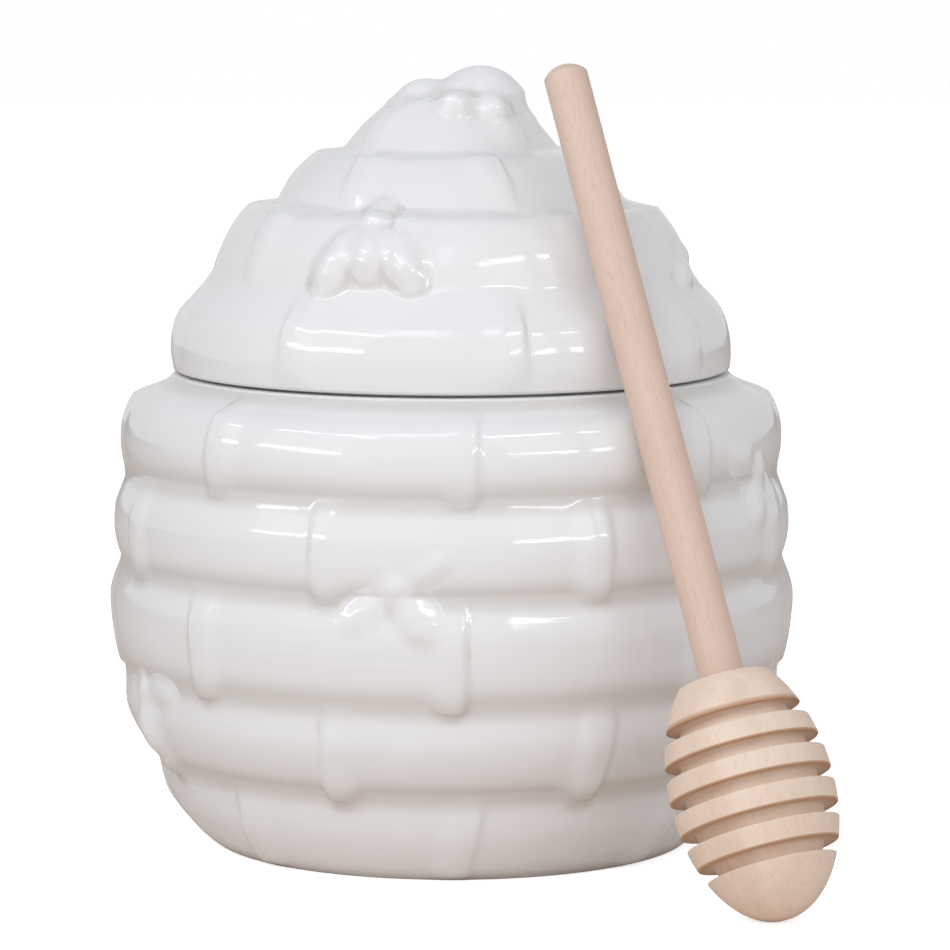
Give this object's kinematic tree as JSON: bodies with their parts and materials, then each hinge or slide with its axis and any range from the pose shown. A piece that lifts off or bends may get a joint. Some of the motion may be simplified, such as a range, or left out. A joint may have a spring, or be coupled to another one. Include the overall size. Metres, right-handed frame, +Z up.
{
  "type": "honey pot",
  "caption": "Beehive-shaped glazed honey pot of coiled rings, with a lift-off domed lid, small relief bees and a turned wooden honey dipper leaning on it.",
  "frame": {"origin": "centre of the pot's foot ring, on the table", "axes": "+Z up along the pot's axis; -Y is the front, the side that the dipper leans on, to the right of it (+X)"},
  "size_m": [0.1321, 0.1555, 0.1464],
  "materials": {
    "glaze": "glossy white glaze, warm grey where it pools in the grooves",
    "head_wood": "plain turned wood, unvarnished, with faint burnt lines at the ring edges",
    "handle_wood": "plain sanded dowel with short fine fibres"
  },
  "bodies": {
    "pot_body": {"pot": "glaze"},
    "lid_body": {"lid": "glaze"},
    "dipper_body": {"dipper_head": "head_wood", "dipper_handle": "handle_wood"}
  },
  "joints": [
    {"name": "lid_lift", "type": "slide", "parent": "pot_body", "child": "lid_body", "axis": [-0.2373, 0.3401, 0.91], "range_m": [0, 0.09]},
    {"name": "dipper_lift", "type": "slide", "parent": "pot_body", "child": "dipper_body", "axis": [0, 0, 1], "range_m": [0, 0.1]}
  ]
}
